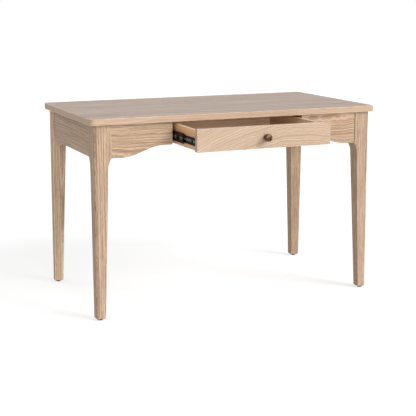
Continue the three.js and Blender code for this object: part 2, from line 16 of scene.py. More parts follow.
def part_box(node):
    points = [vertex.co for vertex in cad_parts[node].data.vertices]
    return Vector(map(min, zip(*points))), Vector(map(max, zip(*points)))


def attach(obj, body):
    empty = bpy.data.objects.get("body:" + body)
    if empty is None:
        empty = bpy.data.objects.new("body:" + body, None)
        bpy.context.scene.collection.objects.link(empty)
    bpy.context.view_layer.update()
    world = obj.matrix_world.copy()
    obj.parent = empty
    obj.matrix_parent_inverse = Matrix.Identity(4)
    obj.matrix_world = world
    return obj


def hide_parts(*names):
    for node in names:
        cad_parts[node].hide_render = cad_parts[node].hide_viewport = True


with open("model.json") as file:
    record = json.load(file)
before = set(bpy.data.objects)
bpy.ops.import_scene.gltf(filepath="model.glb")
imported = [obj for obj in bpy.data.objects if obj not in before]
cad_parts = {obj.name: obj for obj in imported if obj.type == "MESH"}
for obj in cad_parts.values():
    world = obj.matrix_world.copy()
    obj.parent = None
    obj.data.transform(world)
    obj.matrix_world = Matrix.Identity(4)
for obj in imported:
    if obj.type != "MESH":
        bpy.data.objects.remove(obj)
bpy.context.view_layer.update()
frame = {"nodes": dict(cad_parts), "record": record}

MM = 0.001

# ---- What the frame says of each node ----

BODY_OF = {
    node: body
    for body, members in frame["record"]["behaviour"]["bodies"].items()
    for node in members
}
SLOT_OF = {row["node"]: row["material_slot"] for row in frame["record"]["subparts"]}
CORNERS = ("front_left", "front_right", "back_right", "back_left")
OUTWARDS = {"left": Vector((-1, 0, 0)), "right": Vector((1, 0, 0))}
FORWARDS = Vector((0, -1, 0))
UP = Vector((0, 0, 1))
X, Y, Z = 0, 1, 2


def middle(node):
    low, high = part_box(node)
    return (low + high) / 2


DESK_MIDDLE = middle("desktop")

# ---- Camera ----

CAMERA_PLACE = (-1.7007, -3.8047, 1.2120)
CAMERA_HEADING = 23.468  # degrees from +Y towards +X
CAMERA_DIP = 8.981  # degrees below the horizon
CAMERA_ROLL = -0.047
CAMERA_LENS = 90.65
CAMERA_SHIFT = -0.1202
CAMERA_FILM = 36.0  # width in millimetres


def camera():
    data = bpy.data.cameras.new("camera")
    data.sensor_width = CAMERA_FILM
    data.lens = CAMERA_LENS
    data.shift_y = CAMERA_SHIFT
    viewer = bpy.data.objects.new("camera", data)
    heading = Matrix.Rotation(-math.radians(CAMERA_HEADING), 4, "Z")
    dip = Matrix.Rotation(math.radians(90 - CAMERA_DIP), 4, "X")
    roll = Matrix.Rotation(math.radians(CAMERA_ROLL), 4, "Z")
    viewer.matrix_world = Matrix.Translation(CAMERA_PLACE) @ heading @ dip @ roll
    bpy.context.scene.collection.objects.link(viewer)
    bpy.context.scene.camera = viewer


# ---- Node helpers ----


def linear(red, green, blue):
    """A colour given as 0-255 display values, as the linear colour that a socket takes."""

    def channel(value):
        share = value / 255
        return share / 12.92 if share <= 0.04045 else ((share + 0.055) / 1.055) ** 2.4

    return (channel(red), channel(green), channel(blue), 1.0)


def add(tree, kind, inputs=None, **settings):
    node = tree.nodes.new(kind)
    for name, value in settings.items():
        setattr(node, name, value)
    for name, value in (inputs or {}).items():
        socket = node.inputs[name]
        if isinstance(value, bpy.types.NodeSocket):
            tree.links.new(value, socket)
        else:
            socket.default_value = value
    return node


def maths(tree, operation, first, second=0.0, clamp=False):
    inputs = {0: first, 1: second}
    return add(tree, "ShaderNodeMath", inputs, operation=operation, use_clamp=clamp).outputs[0]


def vector_maths(tree, operation, first, second):
    return add(tree, "ShaderNodeVectorMath", {0: first, 1: second}, operation=operation).outputs[0]


def blended(tree, factor, first, second):
    """Two colours mixed: a Mix node's colour sockets are its seventh and eighth."""
    inputs = {0: factor, 6: first, 7: second}
    return add(tree, "ShaderNodeMix", inputs, data_type="RGBA").outputs[2]


def ranged(tree, value, low, high, to_low=0.0, to_high=1.0, smooth=True):
    inputs = {"Value": value, "From Min": low, "From Max": high, "To Min": to_low, "To Max": to_high}
    interpolation = "SMOOTHSTEP" if smooth else "LINEAR"
    node = add(tree, "ShaderNodeMapRange", inputs, interpolation_type=interpolation, clamp=True)
    return node.outputs["Result"]


def noise(tree, vector, scale, detail=2.0, roughness=0.5):
    inputs = {"Vector": vector, "Scale": scale, "Detail": detail, "Roughness": roughness}
    return add(tree, "ShaderNodeTexNoise", inputs)


def stretched(tree, vector, scale):
    return vector_maths(tree, "MULTIPLY", vector, scale)


def grained(tree, vector, scale, detail=2.0, roughness=0.5):
    """Noise whose scale differs from one direction to another."""
    return noise(tree, stretched(tree, vector, scale), 1.0, detail, roughness).outputs["Fac"]


SOCKETS = {"float": "NodeSocketFloat", "colour": "NodeSocketColor", "vector": "NodeSocketVector"}


def new_group(name, inputs, outputs):
    """A shader node group, whose inputs and outputs are each {socket name: kind}."""
    tree = bpy.data.node_groups.new(name, "ShaderNodeTree")
    for way, sockets in (("INPUT", inputs), ("OUTPUT", outputs)):
        for socket_name, kind in sockets.items():
            tree.interface.new_socket(socket_name, in_out=way, socket_type=SOCKETS[kind])
    return tree, add(tree, "NodeGroupInput").outputs, add(tree, "NodeGroupOutput").inputs


# ---- Finishes shared by several materials ----

# Changes of the wood's figure per metre, along the trunk and the two ways across it
SWAY_SCALE = (2.4, 5, 5)
RIPPLE_SCALE = (26, 20, 20)
STREAK_SCALE = (5, 210, 210)
PORE_SCALE = (38, 950, 950)
DASH_SCALE = (34, 800, 800)
TONE_SCALE = (1.6, 11, 11)
RUBBED_SCALE = (30, 120, 120)
# Where each mask begins in its noise, and where it is full
STREAK_SPAN = (0.38, 0.66)
PORE_SPAN = (0.53, 0.66)
DASH_SPAN = (0.36, 0.58)
TONE_SPAN = (0.3, 0.7)
RUBBED_SPAN = (0.35, 0.6)
FINE_ROUGHNESS = 0.6
# A ring's porous early wood, as shares of its width: where it sets in and where it dies out
EARLY_SETS_IN = (0.0, 0.14)
EARLY_DIES_OUT = (0.22, 0.75)
SEASON_SCALE = 0.37  # changes per ring
SEASON_REACH = 2.4  # rings
DASH_LEAST = 0.22  # lime left in a ring between its dashes
RUBBED_SHARES = (0.2, 0.75)  # lime on an arris, at the least and at the most
PORE_ROUGHNESS = 0.12
CLOSED_PORE_DEPTH = 0.25  # of a pore outside the early wood, where one in it is 1


def strayed(tree, vector, scale, reach):
    """A vector that wanders either way by up to half a reach."""
    wander = noise(tree, stretched(tree, vector, scale), 1.0).outputs["Color"]
    wander = vector_maths(tree, "SUBTRACT", wander, (0.5, 0.5, 0.5))
    inputs = {0: wander, "Scale": reach}
    return add(tree, "ShaderNodeVectorMath", inputs, operation="SCALE").outputs[0]


def wood_figure_group():
    """Growth rings round a heart line, wandering pores and slow changes of tone.

    Wood is a place in the tree: x along the trunk, y and z across it from the heart, in metres.
    """
    tree, given, result = new_group(
        "wood_figure",
        {
            "Wood": "vector",
            "Ring Width": "float",
            "Wander": "float",
            "Ripple": "float",
        },
        {"Rings": "float", "Streaks": "float", "Dashes": "float", "Pores": "float", "Tone": "float"},
    )
    wood = given["Wood"]
    sway = strayed(tree, wood, SWAY_SCALE, given["Wander"])
    ripple = strayed(tree, wood, RIPPLE_SCALE, given["Ripple"])
    swayed = vector_maths(tree, "ADD", wood, vector_maths(tree, "ADD", sway, ripple))
    across = vector_maths(tree, "MULTIPLY", swayed, (0, 1, 1))
    radius = add(tree, "ShaderNodeVectorMath", {0: across}, operation="LENGTH").outputs["Value"]
    age = maths(tree, "DIVIDE", radius, given["Ring Width"])
    inputs = {"W": age, "Scale": SEASON_SCALE, "Detail": 1.0}
    seasons = add(tree, "ShaderNodeTexNoise", inputs, noise_dimensions="1D").outputs["Fac"]
    age = maths(tree, "ADD", age, maths(tree, "MULTIPLY", seasons, SEASON_REACH))
    year = maths(tree, "FRACT", age)
    early = ranged(tree, year, *EARLY_SETS_IN)
    late = ranged(tree, year, *EARLY_DIES_OUT, 1.0, 0.0)
    streaks = grained(tree, wood, STREAK_SCALE, 3.0, FINE_ROUGHNESS)
    pores = grained(tree, wood, PORE_SCALE, roughness=FINE_ROUGHNESS)
    dashes = grained(tree, wood, DASH_SCALE, roughness=FINE_ROUGHNESS)
    tone = grained(tree, wood, TONE_SCALE)
    tree.links.new(maths(tree, "MULTIPLY", early, late), result["Rings"])
    tree.links.new(ranged(tree, streaks, *STREAK_SPAN), result["Streaks"])
    tree.links.new(ranged(tree, pores, *PORE_SPAN), result["Pores"])
    tree.links.new(ranged(tree, dashes, *DASH_SPAN), result["Dashes"])
    tree.links.new(ranged(tree, tone, *TONE_SPAN, smooth=False), result["Tone"])
    return tree


def limed_oak_group(figure):
    """Oak with lime rubbed into its open rings and pores, and its arrises rubbed pale."""
    tree, given, result = new_group(
        "limed_oak",
        {
            "Wood": "vector",
            "Arris": "float",
            "Body": "colour",
            "Lime": "colour",
            "Dark": "colour",
            "Ring Width": "float",
            "Wander": "float",
            "Ripple": "float",
            "Tone Share": "float",
            "Lime Share": "float",
            "Streak Share": "float",
            "Fleck Share": "float",
            "Gloss": "float",
        },
        {"Colour": "colour", "Roughness": "float", "Height": "float"},
    )
    wood = add(tree, "ShaderNodeGroup", node_tree=figure)
    for name in ("Wood", "Ring Width", "Wander", "Ripple"):
        tree.links.new(given[name], wood.inputs[name])
    rings, streaks, dashes, pores, tone = (
        wood.outputs[name] for name in ("Rings", "Streaks", "Dashes", "Pores", "Tone")
    )
    toned = maths(tree, "MULTIPLY", tone, given["Tone Share"])
    colour = blended(tree, toned, given["Body"], given["Dark"])
    streaked = maths(tree, "MULTIPLY", streaks, given["Streak Share"])
    colour = blended(tree, streaked, colour, given["Dark"])
    broken = ranged(tree, dashes, 0.0, 1.0, DASH_LEAST, 1.0, smooth=False)
    limed = maths(tree, "MULTIPLY", maths(tree, "MULTIPLY", rings, broken), given["Lime Share"])
    colour = blended(tree, limed, colour, given["Lime"])
    closed = maths(tree, "SUBTRACT", 1.0, rings)
    flecks = maths(tree, "MULTIPLY", maths(tree, "MULTIPLY", pores, closed), given["Fleck Share"])
    colour = blended(tree, flecks, colour, given["Dark"])
    rubbed = grained(tree, given["Wood"], RUBBED_SCALE)
    rubbed = ranged(tree, rubbed, *RUBBED_SPAN, *RUBBED_SHARES)
    rubbed = maths(tree, "MULTIPLY", given["Arris"], rubbed)
    colour = blended(tree, rubbed, colour, given["Lime"])
    tree.links.new(colour, result["Colour"])
    rough = maths(tree, "MULTIPLY", pores, PORE_ROUGHNESS)
    tree.links.new(maths(tree, "ADD", rough, given["Gloss"]), result["Roughness"])
    depth = maths(tree, "MULTIPLY", pores, maths(tree, "ADD", rings, CLOSED_PORE_DEPTH))
    tree.links.new(maths(tree, "SUBTRACT", 1.0, depth), result["Height"])
    return tree


CLOUD_SPAN = (0.38, 0.68)
CLOUD_ROUGHNESS = 0.14
SCRATCH_SCALE = (900, 60, 900)
SCRATCH_SPAN = (0.56, 0.7)
SCRATCH_SHARE = 0.12
SCRATCH_ROUGHNESS = 0.08


def plated_metal_group():
    """Metal with a clouded finish, fine scratches along it and rubbed high places."""
    tree, given, result = new_group(
        "plated_metal",
        {
            "Place": "vector",
            "Fresh": "colour",
            "Rubbed": "colour",
            "Cloud Scale": "float",
            "Rubbed Share": "float",
            "Gloss": "float",
        },
        {"Colour": "colour", "Roughness": "float", "Height": "float"},
    )
    place = given["Place"]
    clouds = noise(tree, place, given["Cloud Scale"], 3.0, FINE_ROUGHNESS).outputs["Fac"]
    clouds = ranged(tree, clouds, *CLOUD_SPAN)
    scratches = ranged(tree, grained(tree, place, SCRATCH_SCALE), *SCRATCH_SPAN)
    scratched = maths(tree, "MULTIPLY", scratches, SCRATCH_SHARE)
    rubbed = maths(tree, "MULTIPLY", clouds, given["Rubbed Share"])
    rubbed = maths(tree, "ADD", rubbed, scratched, clamp=True)
    tree.links.new(blended(tree, rubbed, given["Fresh"], given["Rubbed"]), result["Colour"])
    rough = maths(tree, "ADD", given["Gloss"], maths(tree, "MULTIPLY", clouds, CLOUD_ROUGHNESS))
    roughened = maths(tree, "MULTIPLY", scratches, SCRATCH_ROUGHNESS)
    tree.links.new(maths(tree, "ADD", rough, roughened), result["Roughness"])
    tree.links.new(scratches, result["Height"])
    return tree


# ---- Materials ----

# Colours are 0-255 display values, and a ring's width, wander and ripple are in metres
OAK_COMMON = {
    "Gloss": 0.52, "Ring Width": 0.006, "Wander": 0.02, "Ripple": 0.003,
    "Tone Share": 0.3, "Lime Share": 0.6, "Streak Share": 0.5, "Fleck Share": 0.4,
}
OAK = {
    "oak_top": {
        "Body": (191, 172, 158), "Lime": (211, 194, 182), "Dark": (148, 129, 115),
        "Ring Width": 0.024, "Lime Share": 0.6, "Wander": 0.05, "Gloss": 0.56, "Tone Share": 0.85,
        "Streak Share": 0.75, "Fleck Share": 0.55,
    },
    "oak_lipping": {
        "Body": (191, 164, 140), "Lime": (224, 201, 177), "Dark": (164, 133, 108),
        "Ring Width": 0.005, "Wander": 0.03, "Streak Share": 0.5, "Lime Share": 0.35,
    },
    "oak_front": {
        "Body": (184, 157, 132), "Lime": (216, 196, 175), "Dark": (160, 129, 103),
        "Ring Width": 0.0056, "Lime Share": 0.72, "Wander": 0.045, "Ripple": 0.012,
        "Streak Share": 0.3,
    },
    "oak_apron": {
        "Body": (184, 155, 128), "Lime": (210, 186, 161), "Dark": (130, 97, 69),
        "Ring Width": 0.0048, "Ripple": 0.008, "Streak Share": 0.8, "Lime Share": 0.75,
        "Wander": 0.035, "Tone Share": 0.36,
    },
    "oak_leg": {
        "Body": (190, 161, 134), "Lime": (210, 186, 163), "Dark": (122, 92, 69),
        "Ring Width": 0.005, "Lime Share": 0.62, "Wander": 0.012, "Fleck Share": 0.95,
        "Streak Share": 0.75, "Ripple": 0.004,
    },
    # A lighter copy of the leg oak with finer rings: painted light on the back left leg
    "oak_leg_painted_light": {
        "Body": (208, 177, 146), "Lime": (228, 204, 178), "Dark": (138, 105, 80),
        "Ring Width": 0.0042, "Lime Share": 0.8, "Wander": 0.008, "Fleck Share": 0.8,
        "Streak Share": 0.6, "Ripple": 0.003,
    },
    # A darker copy of the leg oak: painted shade on the back right leg, where the desktop shades it
    "oak_leg_painted_shade": {
        "Body": (176, 147, 120), "Lime": (198, 172, 148), "Dark": (116, 86, 63),
        "Ring Width": 0.005, "Wander": 0.012, "Fleck Share": 0.9, "Streak Share": 0.7,
    },
    # A brighter, more orange copy of the drawer wood, on the drawer sides' outer faces only: painted
    # light
    "drawer_side_wood": {
        "Body": (250, 206, 154), "Lime": (250, 218, 176), "Dark": (212, 156, 104),
        "Ring Width": 0.008, "Lime Share": 0.4, "Wander": 0.015, "Gloss": 0.46,
    },
    "drawer_wood": {
        "Body": (236, 205, 174), "Lime": (240, 214, 186), "Dark": (202, 164, 130),
        "Ring Width": 0.008, "Lime Share": 0.4, "Wander": 0.015, "Gloss": 0.46,
    },
    # Its body is darker as painted shade: the runner boards seen in the gap beside the open drawer
    # stand for the deep shade there
    "hidden_wood": {
        "Body": (148, 117, 86), "Lime": (166, 136, 104), "Dark": (118, 88, 62),
        "Lime Share": 0.4, "Gloss": 0.62,
    },
    "plywood": {
        "Body": (234, 208, 180), "Lime": (238, 216, 190), "Dark": (206, 176, 144),
        "Ring Width": 0.02, "Lime Share": 0.4, "Wander": 0.05,
    },
}
OAK_BUMP = 0.25
OAK_BUMP_DEPTH = 0.4 * MM
OAK_SHEEN = 0.35
# Each fitting's finish: how metallic it is, its sheen, and what the shared group is given
METALS = {
    "black_steel": (0.0, 0.12, {
        "Cloud Scale": 160.0, "Rubbed Share": 0.3, "Gloss": 0.4,
        "Fresh": (6, 7, 8), "Rubbed": (24, 25, 27),
    }),
    "rubbed_steel": (0.9, 0.5, {
        "Cloud Scale": 240.0, "Rubbed Share": 0.6, "Gloss": 0.24,
        "Fresh": (130, 132, 134), "Rubbed": (205, 206, 206),
    }),
    "zinc_steel": (1.0, 0.5, {
        "Cloud Scale": 90.0, "Rubbed Share": 0.6, "Gloss": 0.22,
        "Fresh": (186, 188, 190), "Rubbed": (224, 224, 222),
    }),
    "aged_brass": (0.9, 0.5, {
        "Cloud Scale": 150.0, "Rubbed Share": 0.55, "Gloss": 0.34,
        "Fresh": (78, 58, 42), "Rubbed": (136, 106, 78),
    }),
    "black_plastic": (0.0, 0.3, {
        "Cloud Scale": 220.0, "Rubbed Share": 0.2, "Gloss": 0.46,
        "Fresh": (20, 20, 22), "Rubbed": (48, 48, 50),
    }),
}
METAL_BUMP = 0.08
METAL_BUMP_DEPTH = 0.1 * MM


def new_material(name):
    material = bpy.data.materials.new(name)
    material.use_nodes = True
    tree = material.node_tree
    tree.nodes.clear()
    shader = add(tree, "ShaderNodeBsdfPrincipled")
    output = add(tree, "ShaderNodeOutputMaterial")
    tree.links.new(shader.outputs["BSDF"], output.inputs["Surface"])
    return material, tree, shader


def finished(tree, shader, finish, bump_strength, bump_depth):
    """Feeds a shader's colour, roughness and bump from a finish group's outputs."""
    tree.links.new(finish.outputs["Colour"], shader.inputs["Base Color"])
    tree.links.new(finish.outputs["Roughness"], shader.inputs["Roughness"])
    bump = add(tree, "ShaderNodeBump", {"Strength": bump_strength, "Distance": bump_depth})
    tree.links.new(finish.outputs["Height"], bump.inputs["Height"])
    tree.links.new(bump.outputs["Normal"], shader.inputs["Normal"])


def grouped(tree, group, values):
    """A group node in a material, with its sockets set by name."""
    node = add(tree, "ShaderNodeGroup", node_tree=group)
    for socket, value in values.items():
        node.inputs[socket].default_value = linear(*value) if isinstance(value, tuple) else value
    return node


def oak_material(name, limed_oak):
    material, tree, shader = new_material(name)
    oak = grouped(tree, limed_oak, {**OAK_COMMON, **OAK[name]})
    wood = add(tree, "ShaderNodeAttribute", attribute_name="wood")
    arris = add(tree, "ShaderNodeAttribute", attribute_name="arris")
    tree.links.new(wood.outputs["Vector"], oak.inputs["Wood"])
    tree.links.new(arris.outputs["Fac"], oak.inputs["Arris"])
    finished(tree, shader, oak, OAK_BUMP, OAK_BUMP_DEPTH)
    shader.inputs["Specular IOR Level"].default_value = OAK_SHEEN
    return material


def metal_material(name, plated_metal):
    metallic, sheen, values = METALS[name]
    material, tree, shader = new_material(name)
    metal = grouped(tree, plated_metal, values)
    place = add(tree, "ShaderNodeTexCoord")
    tree.links.new(place.outputs["Object"], metal.inputs["Place"])
    finished(tree, shader, metal, METAL_BUMP, METAL_BUMP_DEPTH)
    shader.inputs["Metallic"].default_value = metallic
    shader.inputs["Specular IOR Level"].default_value = sheen
    return material


figure = wood_figure_group()
limed_oak = limed_oak_group(figure)
plated_metal = plated_metal_group()
FINISH = {name: oak_material(name, limed_oak) for name in OAK}
FINISH.update({name: metal_material(name, plated_metal) for name in METALS})

# ---- Shapes ----

MERGE = 0.002 * MM
FLAT = math.radians(0.5)  # faces this nearly level with each other are one
SHARP = math.radians(38)  # an edge this sharp can be rounded over
SMOOTH = math.radians(34)  # an edge up to this sharp is shaded smooth
ROUND_STEPS = 3
FEW_STEPS = 2
TOUCH = 0.05 * MM  # places this close are the same


def layered():
    """A new shape, with a wood place on each vertex and a mark on each face of an arris."""
    shape = bmesh.new()
    shape.verts.layers.float_vector.new("wood")
    shape.faces.layers.float.new("arris")
    return shape


def copy_of(node):
    shape = layered()
    shape.from_mesh(frame["nodes"][node].data)
    bmesh.ops.remove_doubles(shape, verts=shape.verts, dist=MERGE)
    bmesh.ops.dissolve_limit(shape, angle_limit=FLAT, verts=shape.verts, edges=shape.edges)
    return shape


def round_over(shape, radius, is_arris, steps=ROUND_STEPS):
    """Rounds the sharp edges that a rule picks by the places of their two ends."""
    arrises = [
        edge
        for edge in shape.edges
        if edge.is_manifold
        and edge.calc_face_angle() > SHARP
        and is_arris(edge.verts[0].co, edge.verts[1].co)
    ]
    rounded = bmesh.ops.bevel(
        shape, geom=arrises, offset=radius, offset_type="OFFSET", affect="EDGES",
        segments=steps, profile=0.5, material=-1, clamp_overlap=False,
    )
    mark = shape.faces.layers.float["arris"]
    for face in rounded["faces"]:
        face[mark] = 1.0


def piece(shape, node, *materials):
    """Makes a shape the visible piece that stands for a node."""
    mesh = bpy.data.meshes.new(node + "_shaped")
    shape.to_mesh(mesh)
    shape.free()
    for material in materials or (FINISH[SLOT_OF[node]],):
        mesh.materials.append(material)
    mesh.shade_smooth()
    mesh.set_sharp_from_angle(angle=SMOOTH)
    made = bpy.data.objects.new(node + "_shaped", mesh)
    bpy.context.scene.collection.objects.link(made)
    even = made.modifiers.new("even_shading", "WEIGHTED_NORMAL")
    even.keep_sharp = True
    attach(made, BODY_OF[node])
    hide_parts(node)


def lay_grain(shape, node, along, heart, start, bow=(0.0, 0.0)):
    """Says where in its tree a board was cut.

    heart is the tree's middle, from the board's middle, start is how far along the tree the
    board's middle was, and bow is how fast the tree bends and where along the board its bend
    is. A bent board's long faces are cut into short lengths first, so that the bend follows them.
    """
    centre = middle(node)
    across = [axis for axis in range(3) if axis != along]
    bend, bend_place = bow
    if bend:
        slice_up(shape, node, along)
    wood = shape.verts.layers.float_vector["wood"]
    for vert in shape.verts:
        place = vert.co - centre
        vert[wood] = (
            place[along] + start,
            place[across[0]] - heart[0],
            place[across[1]] - heart[1] + bend * (place[along] - bend_place) ** 2,
        )


SLICE = 12 * MM


def slice_up(shape, node, along):
    """Cuts a shape across, every slice, leaving its form as it is."""
    low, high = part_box(node)
    normal = Vector([axis == along for axis in range(3)])
    count = math.floor((high[along] - low[along]) / SLICE)
    for cut in range(1, count):
        place = low + normal * ((high[along] - low[along]) * cut / count)
        everything = shape.verts[:] + shape.edges[:] + shape.faces[:]
        bmesh.ops.bisect_plane(shape, geom=everything, plane_co=place, plane_no=normal)


def on_faces(node, axis):
    """A rule that picks the edges on the two faces of a board across an axis."""
    low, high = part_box(node)

    def is_arris(first, second):
        return any(
            abs(first[axis] - face[axis]) < TOUCH and abs(second[axis] - face[axis]) < TOUCH
            for face in (low, high)
        )

    return is_arris


def on_outside(node):
    """A rule that picks the edges that lie on two faces of a board's box."""
    low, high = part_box(node)

    def is_arris(first, second):
        faces = [
            axis
            for axis in range(3)
            for face in (low, high)
            if abs(first[axis] - face[axis]) < TOUCH and abs(second[axis] - face[axis]) < TOUCH
        ]
        return len(faces) > 1

    return is_arris


def on_top(node):
    """A rule that picks the upper edges on the outer faces of a piece of the desk's frame."""
    low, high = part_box(node)
    centre = (low + high) / 2

    def is_arris(first, second):
        outer = [high[axis] if centre[axis] > DESK_MIDDLE[axis] else low[axis] for axis in (X, Y)]
        return all(abs(end.z - high.z) < TOUCH for end in (first, second)) and any(
            abs(first[axis] - outer[axis]) < TOUCH and abs(second[axis] - outer[axis]) < TOUCH
            for axis in (X, Y)
        )

    return is_arris


REBATE = 2.6 * MM


def rebate(shape, node):
    """Cuts a narrow step along the outer upper edges, which parts the frame from the desktop."""
    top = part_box(node)[1].z
    round_over(shape, REBATE, on_top(node), FEW_STEPS)
    inside = [vert for vert in shape.verts if top - REBATE + TOUCH < vert.co.z < top - TOUCH]
    for vert in inside:
        ends = sorted((edge.other_vert(vert).co for edge in vert.link_edges), key=lambda co: co.z)
        above = [co for co in ends if abs(co.z - top) < TOUCH]
        if above and ends[0].z < vert.co.z - TOUCH:
            vert.co = Vector((above[0].x, above[0].y, top - REBATE))
    shape.normal_update()


# ---- Desktop ----

TOP_CORNER = 20 * MM
TOP_CORNER_STEPS = 16
TOP_ARRIS = 2 * MM
TOP_HEART = (-0.75, -0.5)
TOP_START = 0.3
FACING = 0.95  # how squarely a face looks up or down, from which it is veneered


def desktop():
    low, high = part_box("desktop")
    shape = layered()
    bmesh.ops.create_cube(shape, size=1.0)
    bmesh.ops.scale(shape, vec=high - low, verts=shape.verts)
    bmesh.ops.translate(shape, vec=middle("desktop"), verts=shape.verts)
    upright = [e for e in shape.edges if abs(e.verts[0].co.z - e.verts[1].co.z) > TOUCH]
    bmesh.ops.bevel(
        shape, geom=upright, offset=TOP_CORNER, offset_type="OFFSET", affect="EDGES",
        segments=TOP_CORNER_STEPS, profile=0.5, material=-1, clamp_overlap=False,
    )
    round_over(shape, TOP_ARRIS, on_faces("desktop", Z))
    for face in shape.faces:
        face.material_index = 0 if abs(face.normal.z) > FACING else 1
    lay_grain(shape, "desktop", X, TOP_HEART, TOP_START)
    piece(shape, "desktop", FINISH["oak_top"], FINISH["oak_lipping"])


# ---- Legs ----

LEG_ARRIS = 2.2 * MM
UPRIGHT = 0.8  # an edge's rise as a share of its length, from which it runs up the leg
# Where each leg's tree had its heart, across the leg
LEG_HEARTS = {
    "front_left": (0.16, 0.12),
    "front_right": (-0.14, 0.10),
    "back_right": (0.12, -0.15),
    "back_left": (0.002, 0.0325),
}
# The back legs take copies of the leg oak: a lighter one as painted light, a darker one as painted
# shade
LEG_LIT_AND_SHADED_OAKS = {"back_left": "oak_leg_painted_light", "back_right": "oak_leg_painted_shade"}
# How fast each bent leg's tree bent, and where up the leg
LEG_BOWS = {"back_left": (0.025, -1.0)}
LEG_START = 0.9  # from one leg's start along its tree to the next one's


def legs():
    apron_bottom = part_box("side_apron_left")[0].z

    def is_arris(first, second):
        rise = abs(first.z - second.z)
        below = max(first.z, second.z) < apron_bottom + TOUCH
        return below and rise > UPRIGHT * (first - second).length

    for number, corner in enumerate(CORNERS):
        node = "leg_" + corner
        shape = copy_of(node)
        rebate(shape, node)
        round_over(shape, LEG_ARRIS, is_arris)
        bow = LEG_BOWS.get(corner, (0.0, 0.0))
        lay_grain(shape, node, Z, LEG_HEARTS[corner], LEG_START * number, bow)
        piece(shape, node, FINISH[LEG_LIT_AND_SHADED_OAKS.get(corner, "oak_leg")])


# ---- Aprons, panels and runner boards ----

BOARD_ARRIS = 1.4 * MM
# Each board's thickness and length axes, its tree's heart, and its start along the tree
BOARDS = {
    "front_panel_left": (Y, X, (0.05, -0.06), 0.2),
    "front_panel_right": (Y, X, (0.06, 0.05), 1.1),
    "rear_apron": (Y, X, (-0.04, -0.2), 2.0),
    "side_apron_left": (X, Y, (0.04, -0.2), 0.7),
    "side_apron_right": (X, Y, (-0.04, 0.22), 1.6),
    "runner_board_left": (X, Y, (0.06, 0.02), 2.4),
    "runner_board_right": (X, Y, (-0.05, 0.02), 0.1),
}
BLOCK_HEART = (0.03, 0.05)


def boards():
    for node, (thickness, along, heart, start) in BOARDS.items():
        shape = copy_of(node)
        if "runner" not in node:
            rebate(shape, node)
        round_over(shape, BOARD_ARRIS, on_faces(node, thickness), FEW_STEPS)
        lay_grain(shape, node, along, heart, start)
        piece(shape, node)
    for start, corner in enumerate(CORNERS):
        node = "corner_block_" + corner
        shape = copy_of(node)
        round_over(shape, BOARD_ARRIS, on_faces(node, Z), FEW_STEPS)
        lay_grain(shape, node, Z, BLOCK_HEART, start)
        piece(shape, node)


# ---- Drawer ----

FRONT_ARRIS = 1.3 * MM
FRONT_HEART = (0.06, -0.1)
FRONT_START = 0.45
FRONT_BOW = (0.7, 0.13)
BOX_ARRIS = 1.2 * MM
# Each board's length axis, its tree's heart, and its start along the tree
DRAWER_BOX = {
    "drawer_side_left": (Y, (0.05, -0.02), 0.3),
    "drawer_side_right": (Y, (-0.06, 0.03), 1.2),
    "drawer_back": (X, (0.05, 0.04), 2.2),
    "drawer_bottom": (X, (0.3, -0.1), 0.9),
}


def drawer():
    shape = copy_of("drawer_front")
    round_over(shape, FRONT_ARRIS, on_outside("drawer_front"))
    lay_grain(shape, "drawer_front", X, FRONT_HEART, FRONT_START, FRONT_BOW)
    piece(shape, "drawer_front")
    for node, (along, heart, start) in DRAWER_BOX.items():
        shape = copy_of(node)
        round_over(shape, BOX_ARRIS, on_faces(node, Z), FEW_STEPS)
        lay_grain(shape, node, along, heart, start)
        if "side" in node:
            # The sides' outer faces take the brighter copy of the drawer wood, painted light; their
            # inner faces take the drawer wood
            outwards = math.copysign(1, middle(node).x)
            for face in shape.faces:
                face.material_index = 1 if face.normal.x * outwards > FACING else 0
            piece(shape, node, FINISH["drawer_wood"], FINISH["drawer_side_wood"])
        else:
            piece(shape, node)


# ---- Knob ----

SPIN_STEPS = 48
KNOB_STEPS = 64
KNOB_FOOT = 0.62  # radius, as a share of the head's
KNOB_NECK = 0.36  # the same
KNOB_HEAD = 0.5  # where the head begins, as a share of the knob's reach
KNOB_FOOT_EDGE = 1.8 * MM


def bowed(start, pull, end, steps):
    """Points along a curve that leaves its start towards a pull and reaches its end from it."""
    shares = [step / steps for step in range(1, steps + 1)]
    return [start * (1 - t) ** 2 + pull * 2 * t * (1 - t) + end * t**2 for t in shares]


def spun(shape, profile, origin, axis, steps=SPIN_STEPS, is_ring=False):
    """Spins a profile of (distance, radius) pairs round an axis through an origin."""
    side = axis.orthogonal().normalized()
    verts = [shape.verts.new(origin + axis * along + side * radius) for along, radius in profile]
    pairs = list(zip(verts, verts[1:]))
    if is_ring:
        pairs.append((verts[-1], verts[0]))
    edges = [shape.edges.new(pair) for pair in pairs]
    bmesh.ops.spin(
        shape, geom=verts + edges, cent=origin, axis=axis, angle=math.tau, steps=steps, use_merge=True
    )
    if not is_ring:
        closed_up(shape)


def closed_up(shape):
    """Joins the points that a spin leaves together, and turns every face outwards."""
    bmesh.ops.remove_doubles(shape, verts=shape.verts, dist=MERGE)
    bmesh.ops.recalc_face_normals(shape, faces=shape.faces)


